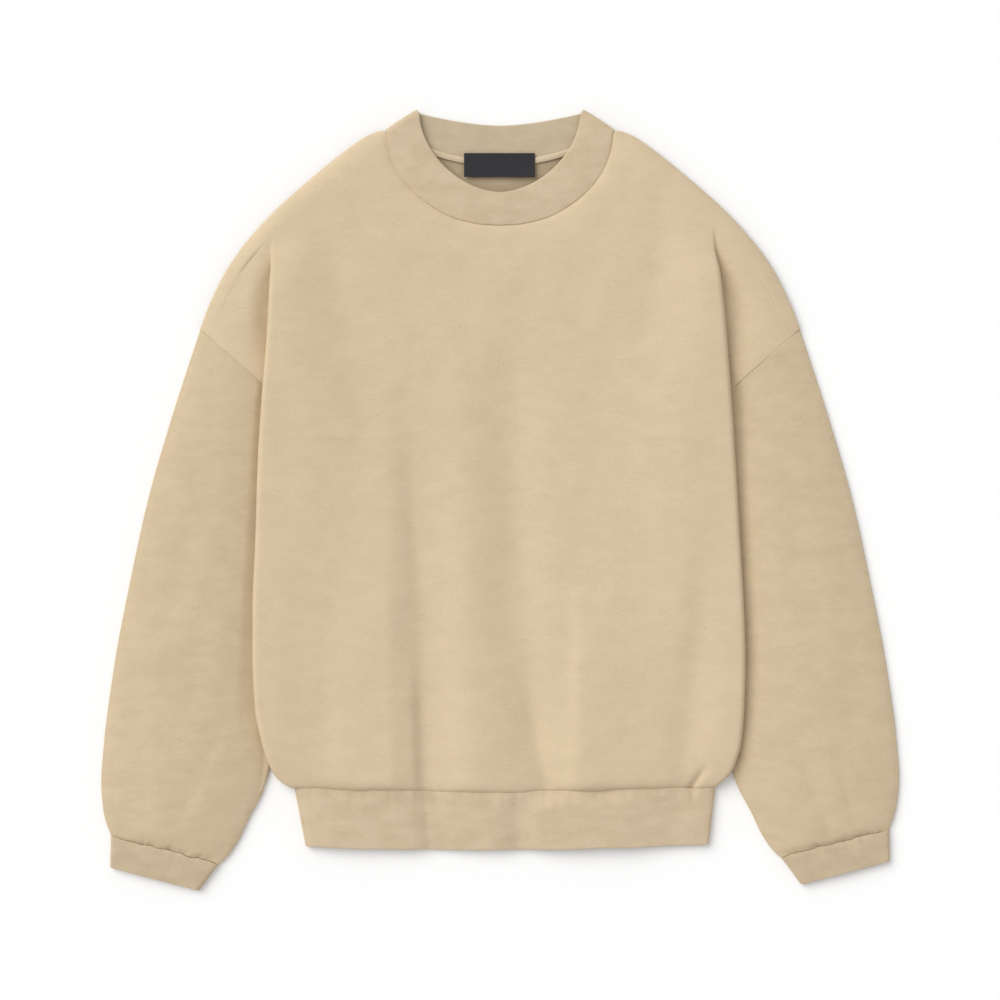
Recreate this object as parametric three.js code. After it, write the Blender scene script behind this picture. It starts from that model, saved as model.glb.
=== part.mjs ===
// Oversized crewneck sweatshirt in heavy fleece with rib trims, laid on its back with its sleeves down.
// Millimetres. X is the wearer's left, seen on the right, Y runs from the hem to the neck, and Z is up from
// the surface that the garment lies on. The origin is the middle of its footprint.
import * as THREE from "three";

// Cloth
const FLEECE = 2.0;
const RIB = 3.0; // rib bands are knitted double and folded
const TAPE = 1.0;
const LABEL = 1.0;
const SEAM = 0.4; // clear distance between two pieces at a seam
const LAYER = 0.6; // clear distance between two layers that lie on each other

// Heights of the middle of each layer above the surface
const BACK_Z = FLEECE / 2;
const FRONT_Z = BACK_Z + FLEECE + LAYER;
const UNDER_Z = FRONT_Z + FLEECE + 1.2; // the part of the front that turns under the body's side
const EDGE_RADIUS = 2.7; // of the soft fold along the body's side
const EDGE_Z = UNDER_Z + 2 * EDGE_RADIUS;
const PLEAT_RADIUS = (UNDER_Z - FRONT_Z) / 2;
const SIDE_TURN = 2.2; // radius with which the front comes down to the side seam
const RIB_LOW_Z = RIB / 2;
const RIB_TOP_Z = RIB_LOW_Z + RIB + LAYER;
const LOFT = 1.6; // air that stays under the front
const CAP_LOFT = 2.8; // and in the sleeves and shoulder caps
const BLOUSE_Z = 7.2; // fullness above the waistband
const HEM_UNDER_Z = 3; // where the front's under part meets the waistband
const HEM_UNDER = { from: -248, to: -270 }; // levels between which that part comes down to it
const PLEAT_FLAT = 0.3; // share of the armhole's height at which the pleat at the armpit lies flat
const PLEAT_START = 0.15; // and at which its middle part starts to tuck back
const PLEAT_PAST = 5; // how far its inner fold ends inside the underarm
const PLEAT_POWER = 1.1; // how evenly it tucks back on the way down

// Distances over which the front rises from its edges and from one level to another
const TOP_REACH = 24; // from the collar and shoulder seams
const HEM_REACH = { middle: 11, side: 30 }; // from the waistband
const BLOUSE_REACH = { from: 70, to: 14 }; // above the waistband, to the full height
const SIDE_REACH = 50; // from the flat middle to the fold at the side
const CAP_REACH = 28; // from the fold to the full loft of the shoulder cap
const COLLAR_REACH = 25; // of the part of the neckline that rises to the collar
const HEM_LIFT = 0.9; // of the front over the waistband, at the seam
const RAISED_BY = 0.12; // share of the armhole's height at which the fold has its full height

// Crossing points of the seams
const NECK_HALF = 106.4;
const NECK_Y = 347.7; // where the collar seam meets the shoulder
const NECK_DROP = 87.4; // from there to the bottom of the front neckline
const BACK_NECK_DROP = 28.5;
const BACK_NECK_Y = 320.2;
const ARMHOLE_TOP = { x: 285, y: 162.5 };
const UNDERARM = { x: 167, y: 59 };
const ARMHOLE_END = 0.97; // share of the armhole seam at which the front's cap ends
const BACK_CORNER = 2; // how far the back's corner at the underarm lies outside it
const HEM_BAND = 55.5; // height of the waistband

// The shoulder line, as half widths, from the neck to the top of the armhole
const SHOULDER = [
  { x: 106.4, y: 348.6 },
  { x: 124.5, y: 345.8 },
  { x: 142.5, y: 334.4 },
  { x: 180.5, y: 304 },
  { x: 221.8, y: 266 },
  { x: 253.2, y: 228 },
  { x: 274.1, y: 190 },
  { x: 285, y: 162.5 },
];

// Half widths of the body as seen, to the soft fold over each sleeve
const BODY_EDGE = [
  { y: 285, left: 217.5, right: 203 },
  { y: 250, left: 218, right: 204.3 },
  { y: 216, left: 218.5, right: 209 },
  { y: 170, left: 220.4, right: 213.8 },
  { y: 95, left: 226.2, right: 219.6 },
  { y: 35, left: 229.9, right: 223.6 },
  { y: -45, left: 232.4, right: 228.2 },
  { y: -95, left: 234.6, right: 231 },
  { y: -150, left: 234.8, right: 232.8 },
  { y: -195, left: 232.8, right: 231.8 },
  { y: -230, left: 226.2, right: 228.8 },
  { y: -253, left: 218.2, right: 222.2 },
  { y: -263, left: 212.2, right: 216.4 },
  { y: -270, left: 204, right: 207.6 },
  { y: -274, left: 195.6, right: 202 },
];

// Half widths of the side seams, which lie under the body's sides
const SIDE_SEAM = [
  { y: 59, x: 166 },
  { y: 0, x: 177 },
  { y: -60, x: 190 },
  { y: -120, x: 200 },
  { y: -180, x: 207 },
  { y: -225, x: 209 },
  { y: -250, x: 204.5 },
  { y: -264, x: 198 },
  { y: -276, x: 190 },
];

// The seam between the body and the waistband, and the waistband's lower edge
const HEM_SEAM = [
  { x: -200, y: -273.2 },
  { x: -100, y: -275.4 },
  { x: 0, y: -277.2 },
  { x: 60, y: -275.6 },
  { x: 120, y: -274.6 },
  { x: 207, y: -272 },
];
const HEM_EDGE = [
  { x: -190, y: -330.6 },
  { x: -20, y: -332.6 },
  { x: 60, y: -331.4 },
  { x: 200, y: -327.2 },
];
const BAND_TOP = { left: 195.4, right: 204.6 };
const BAND_BOTTOM = { left: 184.9, right: 198.4 };
const BAND_LOFT = 0.4; // air between its two layers
const BAND_REACH = 30; // distance from its sides over which that comes in

// The sleeve, from the armhole to the cuff: each row joins a point of its outer fold to one of its inner
// fold. tuck is the width that the body covers, and loft the air between its two layers.
const SLEEVE = [
  { outX: 285.5, outY: 161.9, inX: 173.4, inY: 63.4, tuck: 72, loft: 2.8 },
  { outX: 313, outY: 76, inX: 181.6, inY: 13, tuck: 55, loft: 3.2 },
  { outX: 334.9, outY: 0, inX: 192.5, inY: -54, tuck: 42, loft: 3.3 },
  { outX: 351.5, outY: -76, inX: 202.4, inY: -121, tuck: 34, loft: 3.3 },
  { outX: 366.2, outY: -152, inX: 211.2, inY: -187, tuck: 24, loft: 3.3 },
  { outX: 376.4, outY: -225, inX: 217.2, inY: -243, tuck: 10, loft: 3.4 },
  { outX: 379.4, outY: -266, inX: 225.6, inY: -274, tuck: 2, loft: 3.4 },
  { outX: 377.6, outY: -290, inX: 238, inY: -298, tuck: 0, loft: 3.4 },
  { outX: 374.6, outY: -304, inX: 249.6, inY: -322, tuck: 0, loft: 3.4 },
  { outX: 371.4, outY: -312.4, inX: 260, inY: -336.6, tuck: 0, loft: 3 },
  { outX: 370.2, outY: -315.4, inX: 267.4, inY: -342.4, tuck: 0, loft: 1.7 },
];
const CUFF = [
  { outX: 369.7, outY: -316.4, inX: 267.9, inY: -343.5, tuck: 0, loft: 0.5 },
  { outX: 370.4, outY: -332, inX: 277.6, inY: -356.6, tuck: 0, loft: 0.6 },
  { outX: 370.6, outY: -346.4, inX: 286.2, inY: -368.4, tuck: 0, loft: 0.3 },
];
const CUFF_DROP = { left: -3, right: 3 }; // the two sleeves end at slightly different heights
const DROP = { from: -100, to: -300 }; // levels between which that comes in

// The largest folds of the front: soft ridges and troughs that run down it, deepest at the hem.
// width is to the left and right of each crest, and rise is its height.
const FOLDS = [
  { topX: -96, topY: 110, hemX: -70, left: 9, right: 20, rise: -1.5 },
  { topX: -4, topY: 165, hemX: 12, left: 14, right: 18, rise: -1.5 },
  { topX: 60, topY: -60, hemX: 66, left: 10, right: 48, rise: 1.3 },
  { topX: -45, topY: 60, hemX: -32, left: 18, right: 20, rise: 0.7 },
  { topX: 140, topY: 200, hemX: 150, left: 40, right: 40, rise: 0.6 },
  { topX: 185, topY: -40, hemX: 168, left: 20, right: 24, rise: -1.1 },
];

// Collar band
const COLLAR_HALF = 78.8; // half width of its free edge
const COLLAR_TOP = 365.4; // where its fold begins, and the middle of the cloth there
const COLLAR_DIP = 75.2; // from its points to the bottom of the front free edge
const COLLAR_ROUND = 1.8; // exponent of the free edge's curve
const COLLAR_BACK_DIP = 11.5;
const COLLAR_SIDE_Z = 6.2;
const COLLAR_FREE_Z = 8.6;
const COLLAR_SEAM_Z = 5.8;
const COLLAR_FOLD = 3.85; // how far its fold at the shoulder stands out beyond its middle
const COLLAR_OUT = { x: 0.6, y: 0.8 }; // the direction in which it stands out
const COLLAR_SIDE_Y = NECK_Y - COLLAR_OUT.y * COLLAR_FOLD; // where its seam begins at the shoulder
const COLLAR_CURVE = 1.7; // exponent of the curve of its back edge
const COLLAR_BULGE = 0.5; // how far the front band's middle stands above its edges

// Tape over the back neck seam, and the label on it
const STACK = 0.3; // clear distance between the back, the tape and the label
const TAPE_HALF = 70;
const TAPE_WIDTH = 6;
const LABEL_SIZE = { x: 67.4, y: 22.8 };
const LABEL_AT = { x: -0.5, y: 318.2 };

// How finely the sheets are divided
const TORSO_NECK_STEPS = 8;
const TORSO_SIDE_STEPS = 6;
const UPPER_ROWS = [0, 0.03, 0.08, 0.15, 0.24, 0.35, 0.48, 0.61, 0.74, 0.87, 1];
const LOWER_ROWS = [0.06, 0.14, 0.24, 0.35, 0.46, 0.57, 0.68, 0.78, 0.865, 0.925, 0.965, 0.985, 1];
const EDGE_STEPS = 4;
const UNDER_STEPS = 2;
const PLEAT_STEPS = 3;
const CAP_STEPS = 5;
const BACK_STEPS = { neck: 10, shoulder: 18, hem: 12 };
const SLEEVE_COUNTS = { rings: 17, across: 14, round: 4, under: 4 };
const CUFF_COUNTS = { rings: 3, across: 10, round: 4, under: 4 };
const BAND_COUNTS = { rings: 5, across: 30, round: 4, under: 12 };
const COLLAR_COUNTS = { band: 4, back: 14, fold: 4 };
const TAPE_STEPS = 20;

const { cos, hypot, max, min, PI, sign, sin, sqrt, abs } = Math;
const lerp = THREE.MathUtils.lerp;
const clamp = THREE.MathUtils.clamp;
// A soft step from 0 at one value to 1 at another, which may be the lower one.
function smooth(from, to, at) {
  const t = clamp((at - from) / (to - from), 0, 1);
  return t * t * (3 - 2 * t);
}
const point = (x, y, z) => new THREE.Vector3(x, y, z);
const steps = (count) => Array.from({ length: count + 1 }, (_, i) => i / count);

// A smooth function through a table's rows that doesn't overshoot them.
function curveThrough(rows, key, value) {
  const at = rows.map((row) => row[key]);
  const to = rows.map((row) => row[value]);
  const slopes = at.slice(1).map((next, i) => (to[i + 1] - to[i]) / (next - at[i]));
  const tangents = to.map((_, i) => {
    const before = slopes[max(i - 1, 0)];
    const after = slopes[min(i, slopes.length - 1)];
    return before * after > 0 ? (2 * before * after) / (before + after) : 0;
  });
  const direction = sign(at[1] - at[0]);
  return (where) => {
    let i = 0;
    while (i < at.length - 2 && (where - at[i + 1]) * direction > 0) i += 1;
    const span = at[i + 1] - at[i];
    const t = clamp((where - at[i]) / span, 0, 1);
    const rest = 1 - t;
    return (
      to[i] * rest * rest * (1 + 2 * t) +
      to[i + 1] * t * t * (3 - 2 * t) +
      span * t * rest * (tangents[i] * rest - tangents[i + 1] * t)
    );
  };
}

const shoulderY = curveThrough(SHOULDER, "x", "y");
const sideSeamX = curveThrough(SIDE_SEAM, "y", "x");
const hemSeamY = curveThrough(HEM_SEAM, "x", "y");
const hemEdgeY = curveThrough(HEM_EDGE, "x", "y");
const bodyEdgeX = {
  left: curveThrough(BODY_EDGE, "y", "left"),
  right: curveThrough(BODY_EDGE, "y", "right"),
};
const sides = { left: -1, right: 1 };

// Both surfaces of a sheet of cloth around a grid of points in its middle, joined at its edges into one
// closed body. A closed grid runs round, as a sleeve does. The rows' direction may be given.
function clothGeometry(grid, thickness, closed = false, direction = null) {
  const rows = grid.length;
  const columns = grid[0].length;
  const place = [];
  const along = new THREE.Vector3();
  const across = new THREE.Vector3();
  const wrap = (j) => (closed ? (j + columns) % columns : clamp(j, 0, columns - 1));
  for (const face of [1, -1]) {
    grid.forEach((row, i) => {
      row.forEach((middle, j) => {
        across.subVectors(row[wrap(j + 1)], row[wrap(j - 1)]);
        along.subVectors(grid[min(i + 1, rows - 1)][j], grid[max(i - 1, 0)][j]);
        if (direction) along.copy(direction);
        const outward = across.cross(along).normalize();
        const moved = middle.clone().addScaledVector(outward, (face * thickness) / 2);
        place.push(moved.x, moved.y, moved.z < 1e-3 ? 0 : moved.z);
      });
    });
  }
  const index = [];
  const inner = rows * columns;
  const quad = (a, b, c, d) => index.push(a, b, c, a, c, d);
  const last = closed ? columns : columns - 1;
  for (let i = 0; i < rows - 1; i += 1) {
    for (let j = 0; j < last; j += 1) {
      const [a, b] = [i * columns + j, i * columns + wrap(j + 1)];
      quad(a, b, b + columns, a + columns);
      quad(inner + a, inner + a + columns, inner + b + columns, inner + b);
    }
  }
  for (let j = 0; j < last; j += 1) {
    const [a, b] = [j, wrap(j + 1)];
    const bottom = (rows - 1) * columns;
    quad(b, a, inner + a, inner + b);
    quad(bottom + a, bottom + b, inner + bottom + b, inner + bottom + a);
  }
  for (let i = 0; !closed && i < rows - 1; i += 1) {
    const [a, b] = [i * columns, i * columns + columns - 1];
    quad(a, a + columns, inner + a + columns, inner + a);
    quad(b + columns, b, inner + b, inner + b + columns);
  }
  return facingOut(place, index);
}

// A geometry of these corners and triangles, turned round if its faces point in.
function facingOut(place, index) {
  const corner = (i) => new THREE.Vector3().fromArray(place, index[i] * 3);
  let volume = 0;
  for (let i = 0; i < index.length; i += 3) {
    volume += corner(i).dot(corner(i + 1).cross(corner(i + 2)));
  }
  const faces = volume < 0 ? index.toReversed() : index;
  const geometry = new THREE.BufferGeometry();
  geometry.setAttribute("position", new THREE.Float32BufferAttribute(place, 3));
  geometry.setIndex(faces);
  geometry.computeVertexNormals();
  return geometry;
}

// A rounded rise from an edge: 0 on it and 1 from reach onwards.
const rounded = (distance, reach) => sqrt(1 - (1 - clamp(distance / reach, 0, 1)) ** 2);

// The front neckline, by its half width.
const necklineY = (x) => NECK_Y - NECK_DROP * sqrt(max(0, 1 - (x / NECK_HALF) ** 2));
const frontTopY = (x) => (x < NECK_HALF ? necklineY(x) : shoulderY(x));

// Height that the folds add to the front at a place.
function foldRise(x, y) {
  return FOLDS.reduce((total, fold) => {
    const down = clamp((fold.topY - y) / (fold.topY - hemSeamY(x)), 0, 1);
    const offset = x - lerp(fold.topX, fold.hemX, down);
    const width = offset < 0 ? fold.left : fold.right;
    return total + fold.rise * smooth(0, 0.6, down) * Math.exp(-((offset / width) ** 2));
  }, 0);
}

// The middle of the front, above the back panel and clear of what turns under it.
function frontHeight(side, half, y, foldX, tuck, raised) {
  const x = sides[side] * half;
  const seamY = hemSeamY(x);
  const full = smooth(seamY + BLOUSE_REACH.from, seamY + BLOUSE_REACH.to, y);
  const centre = lerp(FRONT_Z + LOFT, BLOUSE_Z, full) + foldRise(x, y);
  const inward = 1 - smooth(0.6 * tuck, tuck + SIDE_REACH, foldX - half);
  const height = lerp(centre, lerp(FRONT_Z + LOFT, EDGE_Z, raised), inward);
  const fromTop = frontTopY(half) - y;
  const edge = lerp(FRONT_Z, COLLAR_SEAM_Z, smooth(NECK_HALF + 2, NECK_HALF - COLLAR_REACH, half));
  const low = RIB_TOP_Z + HEM_LIFT + foldRise(x, seamY) * 0.5;
  const hemReach = lerp(HEM_REACH.middle, HEM_REACH.side, inward);
  return lerp(low, lerp(edge, height, rounded(fromTop, TOP_REACH)), rounded(y - seamY, hemReach));
}

// The level of a place between the underarm and the hem seam.
const sideLevel = (x, lower) => lerp(UNDERARM.y, hemSeamY(x) + 2 * SEAM, lower);

// Half a row of the front, from its middle line to the armhole or side seam.
function frontHalfRow(side, upper, lower) {
  const turn = sides[side];
  const above = lower === 0;
  const topX = bodyEdgeX[side](BODY_EDGE[0].y) - FLEECE / 2 - EDGE_RADIUS;
  const levelAt = (share, foldX) => {
    const half = share * topX;
    const top = frontTopY(half) - (half < NECK_HALF ? SEAM : 0);
    return above ? lerp(top, UNDERARM.y, upper) : sideLevel(turn * share * foldX, lower);
  };
  const edgeY = levelAt(1, topX);
  const foldX = bodyEdgeX[side](edgeY) - FLEECE / 2 - EDGE_RADIUS;
  const tuckedShare = clamp((upper - PLEAT_START) / (1 - PLEAT_START), 0, 1) ** PLEAT_POWER;
  const seamX = above ? lerp(foldX, UNDERARM.x - PLEAT_PAST, tuckedShare) : sideSeamX(edgeY);
  const tuck = foldX - seamX;
  const row = [];
  const shares = [
    ...steps(TORSO_NECK_STEPS).map((s) => (NECK_HALF / topX) * sin((s * PI) / 2)),
    ...steps(TORSO_SIDE_STEPS).slice(1).map((s) => lerp(NECK_HALF / topX, 1, s)),
  ];
  for (const share of shares) {
    const half = share * foldX;
    const y = levelAt(share, foldX);
    const raised = above ? smooth(0, RAISED_BY, upper) : 1;
    row.push(point(half, y, frontHeight(side, half, y, foldX, tuck, raised)));
  }
  const edge = row.at(-1);
  const tucked = max(0, tuck - PLEAT_RADIUS);
  row.push(...(above ? pleatColumns(edge, tucked, topX, upper) : sideColumns(edge, seamX)));
  return row.map((place) => point(turn * place.x, place.y, place.z));
}

// The columns of the pleat at the armpit and of the shoulder cap beyond it. The pleat starts as a slope,
// leans over further down, and then lies flat with its middle part tucked back under the body's side.
function pleatColumns(edge, tucked, topX, upper) {
  const lean = max(PI * smooth(0, PLEAT_FLAT, upper), 0.001);
  const drop = edge.z - FRONT_Z;
  const folded = (EDGE_RADIUS + PLEAT_RADIUS) * (1 - cos(lean));
  const filled = (drop / folded) * lerp(0.8, 1, smooth(PI / 2, PI, lean));
  const wider = upper > 0 ? min(PI / lean, filled) : PI / lean;
  const [edgeRadius, pleatRadius] = [EDGE_RADIUS * wider, PLEAT_RADIUS * wider];
  const slope = lean < 3.1 ? max(2 * (1 - lean), (drop - folded * wider) / sin(lean)) : 0;
  const arm = armholePoint(upper);
  const outline = (x, from, kept = 1) => {
    const share = x > from ? min((x - from) / max(arm.x - from, 1), 1) * kept : 0;
    const bulge = shoulderY(lerp(topX, ARMHOLE_TOP.x, share)) - lerp(shoulderY(topX), ARMHOLE_TOP.y, share);
    return lerp(edge.y, arm.y, share) + bulge * (1 - upper);
  };
  const columns = [];
  const open = 1 - smooth(PI / 2, PI, lean);
  const put = (x, z) => columns.push(point(x, outline(x, edge.x, open), z));
  for (const s of steps(EDGE_STEPS).slice(1)) {
    put(edge.x + edgeRadius * sin(lean * s), edge.z - edgeRadius * (1 - cos(lean * s)));
  }
  const turn = columns.at(-1).clone();
  for (const s of steps(UNDER_STEPS).slice(1)) {
    put(turn.x + (slope + tucked) * s * cos(lean), turn.z - slope * s * sin(lean));
  }
  const low = columns.at(-1).clone();
  for (const s of steps(PLEAT_STEPS).slice(1)) {
    const rest = lean * (1 - s);
    put(low.x + pleatRadius * (sin(lean) - sin(rest)), low.z - pleatRadius * (cos(rest) - cos(lean)));
  }
  const start = columns.at(-1);
  const from = min(start.x, edge.x);
  const clearOf = edge.x + EDGE_RADIUS;
  for (const s of steps(CAP_STEPS).slice(1)) {
    const x = lerp(start.x, arm.x, s);
    const loft = CAP_LOFT * rounded(upper, 0.25) * smooth(clearOf, clearOf + CAP_REACH, x);
    columns.push(point(x, outline(x, from), lerp(start.z + loft, capHeight(upper), smooth(0.5, 1, s))));
  }
  return columns;
}

// The columns that fold under the body's side, and come down to the side seam clear of the sleeve.
function sideColumns(edge, seamX) {
  const underZ = lerp(UNDER_Z, HEM_UNDER_Z, smooth(HEM_UNDER.from, HEM_UNDER.to, edge.y));
  const radius = (edge.z - underZ) / 2;
  const lowZ = SEAM + 0.1;
  const turnRadius = min(SIDE_TURN, 0.6 * (underZ - lowZ));
  const columns = [];
  for (const s of steps(EDGE_STEPS).slice(1)) {
    columns.push(point(edge.x + EDGE_RADIUS * sin(PI * s), edge.y, edge.z - radius * (1 - cos(PI * s))));
  }
  for (const s of steps(UNDER_STEPS).slice(1)) {
    columns.push(point(lerp(edge.x, min(seamX + turnRadius, edge.x), s), edge.y, underZ));
  }
  const turn = columns.at(-1).clone();
  for (const s of steps(PLEAT_STEPS).slice(1)) {
    const angle = (PI / 2) * s;
    columns.push(point(turn.x - turnRadius * sin(angle), edge.y, turn.z - turnRadius * (1 - cos(angle))));
  }
  const start = columns.at(-1);
  for (const s of steps(CAP_STEPS).slice(1)) columns.push(point(start.x, edge.y, lerp(start.z, lowZ, s)));
  return columns;
}

// A place on the armhole seam, from its top to the underarm.
function armholePoint(share) {
  const s = share * ARMHOLE_END;
  return point(lerp(ARMHOLE_TOP.x, UNDERARM.x, s), lerp(ARMHOLE_TOP.y, UNDERARM.y, s), 0);
}

// How far a tube's upper layer stands above flat, across its width from the inner fold to the outer one.
function crown(across, width, tuck) {
  const hidden = tuck / width;
  const shown = clamp((across - hidden) / (1 - hidden), 0, 1);
  return max(0, sin(PI * shown)) ** 0.6;
}

// The height of the front along the armhole seam, which is that of the sleeve's upper layer there.
function capHeight(share) {
  const start = SLEEVE[0];
  const width = hypot(start.outX - start.inX, start.outY - start.inY);
  return FRONT_Z + start.loft * crown(1 - share * ARMHOLE_END, width, start.tuck);
}

function frontPanel() {
  const levels = [...UPPER_ROWS.map((a) => [a, 0]), ...LOWER_ROWS.map((b) => [1, b])];
  const grid = levels.map(([upper, lower]) => [
    ...frontHalfRow("left", upper, lower).toReversed(),
    ...frontHalfRow("right", upper, lower).slice(1),
  ]);
  return clothGeometry(grid, FLEECE);
}

// The back lies flat under the rest: its outline from the neck to the armhole, the side seam and the hem.
function backPanel() {
  const half = (side) => {
    const turn = sides[side];
    const neck = steps(BACK_STEPS.neck)
      .map((s) => s * (NECK_HALF - 3))
      .map((x) => [turn * x, min(backNeckY(x), COLLAR_SIDE_Y) - 2.5 * SEAM]);
    const shoulder = steps(BACK_STEPS.shoulder)
      .map((s) => lerp(NECK_HALF, ARMHOLE_TOP.x, s))
      .map((x) => [turn * x, shoulderY(x) - (x < NECK_HALF + 1 ? 1 : 0)]);
    const armhole = [[turn * (UNDERARM.x + BACK_CORNER), UNDERARM.y + BACK_CORNER]];
    const clear = (y) => (FLEECE / 2 + 1.5 * SEAM) * hypot(1, sideSeamX(y + 0.5) - sideSeamX(y - 0.5));
    const hemX = turn * SIDE_SEAM.at(-1).x;
    const seam = [0, ...LOWER_ROWS]
      .map((lower) => sideLevel(hemX, lower))
      .map((y) => [turn * (sideSeamX(y) - clear(y)), y]);
    return [...neck, ...shoulder, ...armhole, ...seam];
  };
  const right = half("right");
  const left = half("left").toReversed().slice(0, -1);
  const end = right.at(-1)[0];
  const hem = steps(BACK_STEPS.hem)
    .slice(1, -1)
    .map((s) => lerp(end, -end, s))
    .map((x) => [x, hemSeamY(x) + SEAM]);
  const outline = new THREE.Shape([...right, ...hem, ...left].map(([x, y]) => new THREE.Vector2(x, y)));
  return new THREE.ExtrudeGeometry(outline, { depth: FLEECE, bevelEnabled: false });
}

// The seam between the back and the collar, by its half width.
const backNeckY = (x) => BACK_NECK_Y + BACK_NECK_DROP * (x / NECK_HALF) ** 2;

// A flattened tube of cloth through rows of a table: over its crown, round the outer fold, and back beneath.
function tubeGeometry(side, rows, thickness, counts) {
  const turn = sides[side];
  const keys = rows.map((row, i) => ({ ...row, at: i }));
  const read = (name) => curveThrough(keys, "at", name);
  const [outX, outY, inX, inY, tuckAt, loftAt] = ["outX", "outY", "inX", "inY", "tuck", "loft"].map(read);
  const lowZ = thickness / 2;
  const radius = (thickness + LAYER) / 2;
  const grid = steps(counts.rings).map((s) => {
    const at = s * (rows.length - 1);
    const shift = (y) => y + CUFF_DROP[side] * smooth(DROP.from, DROP.to, y);
    const inner = point(inX(at), shift(inY(at)), 0);
    const outer = point(outX(at), shift(outY(at)), 0);
    const width = inner.distanceTo(outer);
    const ends = radius + thickness / 2;
    const place = (distance, z) => {
      const there = inner.clone().lerp(outer, distance / width);
      return point(turn * there.x, there.y, z);
    };
    const top = steps(counts.across).map((f) => {
      const height = lowZ + 2 * radius + loftAt(at) * crown(f, width, tuckAt(at));
      return place(lerp(ends, width - ends, f), height);
    });
    const round = (centre, from) =>
      steps(counts.round)
        .slice(1, -1)
        .map((k) => from - k * PI)
        .map((angle) => place(centre + radius * cos(angle), lowZ + radius + radius * sin(angle)));
    const under = steps(counts.under).map((f) => place(lerp(width - ends, ends, f), lowZ));
    return [...top, ...round(width - ends, PI / 2), ...under, ...round(ends, -PI / 2)];
  });
  const first = rows[0];
  const last = rows.at(-1);
  const direction = point(
    turn * (last.outX + last.inX - first.outX - first.inX),
    last.outY + last.inY - first.outY - first.inY,
    0,
  );
  return clothGeometry(grid, thickness, true, direction.normalize());
}

// The waistband, a flattened rib tube whose upper layer carries on the folds of the front.
function waistband() {
  const radius = (RIB + LAYER) / 2;
  const ends = radius + RIB / 2;
  const grid = steps(BAND_COUNTS.rings).map((s) => {
    const place = (x, z) => {
      const top = hemSeamY(x) - SEAM;
      return point(x, lerp(top, max(hemEdgeY(x), top - HEM_BAND - 1), s), z);
    };
    const [left, right] = ["left", "right"].map((side) => lerp(BAND_TOP[side], BAND_BOTTOM[side], s) - ends);
    const top = steps(BAND_COUNTS.across).map((f) => {
      const x = lerp(-left, right, f);
      const inside = rounded(min(x + left, right - x), BAND_REACH);
      const fold = 0.5 * foldRise(x, hemSeamY(x)) * inside;
      return place(x, RIB_TOP_Z + BAND_LOFT * inside + max(fold, -BAND_LOFT));
    });
    const round = (x, from) =>
      steps(BAND_COUNTS.round)
        .slice(1, -1)
        .map((k) => from - k * PI)
        .map((angle) => place(x + radius * cos(angle), RIB_LOW_Z + radius + radius * sin(angle)));
    const under = steps(BAND_COUNTS.under).map((f) => place(lerp(right, -left, f), RIB_LOW_Z));
    return [...top, ...round(right, PI / 2), ...under, ...round(-left, -PI / 2)];
  });
  return clothGeometry(grid, RIB, true, point(0, -1, 0));
}

// The collar: a rib band round the neck that lies flat, folded at the shoulders. Its inner edge is free.
function collar() {
  const freeHalf = COLLAR_HALF - COLLAR_FOLD * COLLAR_OUT.x;
  const seamHalf = NECK_HALF - 2 * SEAM - COLLAR_FOLD * COLLAR_OUT.x;
  const band = (free, seam) =>
    steps(COLLAR_COUNTS.band).map((s) => {
      const there = free.clone().lerp(seam, s);
      return there.setZ(there.z + COLLAR_BULGE * sin(PI * s));
    });
  const front = steps(2 * TORSO_NECK_STEPS).map((s) => {
    const angle = PI * s;
    const bow = sin(angle);
    const free = point(
      -freeHalf * sign(cos(angle)) * abs(cos(angle)) ** (2 / COLLAR_ROUND),
      COLLAR_TOP - COLLAR_DIP * bow ** (2 / COLLAR_ROUND),
      lerp(COLLAR_SIDE_Z, COLLAR_FREE_Z, bow),
    );
    const dropped = COLLAR_SIDE_Y - (NECK_DROP - COLLAR_FOLD * COLLAR_OUT.y) * bow;
    const seam = point(-seamHalf * cos(angle), dropped, lerp(COLLAR_SIDE_Z, COLLAR_SEAM_Z, bow));
    return band(free, seam);
  });
  const back = steps(COLLAR_COUNTS.back).map((s) => {
    const across = 1 - 2 * s;
    const dip = COLLAR_BACK_DIP * (1 - abs(across) ** COLLAR_CURVE);
    const free = point(freeHalf * across, COLLAR_TOP - dip, RIB_LOW_Z);
    const seamY = min(backNeckY(seamHalf * across), COLLAR_SIDE_Y);
    const seam = point(seamHalf * across, seamY, RIB_LOW_Z);
    return steps(COLLAR_COUNTS.band).map((k) => free.clone().lerp(seam, k));
  });
  const turnOver = (from, to, turn) =>
    steps(COLLAR_COUNTS.fold)
      .slice(1, -1)
      .map((s) => PI * s)
      .map((angle) =>
        from.map((start, k) => {
          const middle = start.clone().lerp(to[k], 0.5);
          const radius = abs(start.z - to[k].z) / 2;
          const rise = sign(start.z - to[k].z) * radius * cos(angle);
          const reach = radius * sin(angle);
          const moved = point(turn * COLLAR_OUT.x * reach, COLLAR_OUT.y * reach, rise);
          return middle.add(moved);
        }),
      );
  const stations = [
    ...front,
    ...turnOver(front.at(-1), back[0], 1),
    ...back,
    ...turnOver(back.at(-1), front[0], -1),
  ];
  const grid = steps(COLLAR_COUNTS.band).map((_, k) => stations.map((station) => station[k]));
  return clothGeometry(grid, RIB, true);
}

// The tape over the back neck seam, and the label sewn over the tape.
function neckTape() {
  const z = RIB + STACK + TAPE / 2;
  const grid = [0.5, -0.5].map((edge) =>
    steps(TAPE_STEPS).map((s) => {
      const x = lerp(-TAPE_HALF, TAPE_HALF, s);
      return point(x, backNeckY(x) + edge * TAPE_WIDTH, z);
    }),
  );
  return clothGeometry(grid, TAPE);
}

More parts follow.
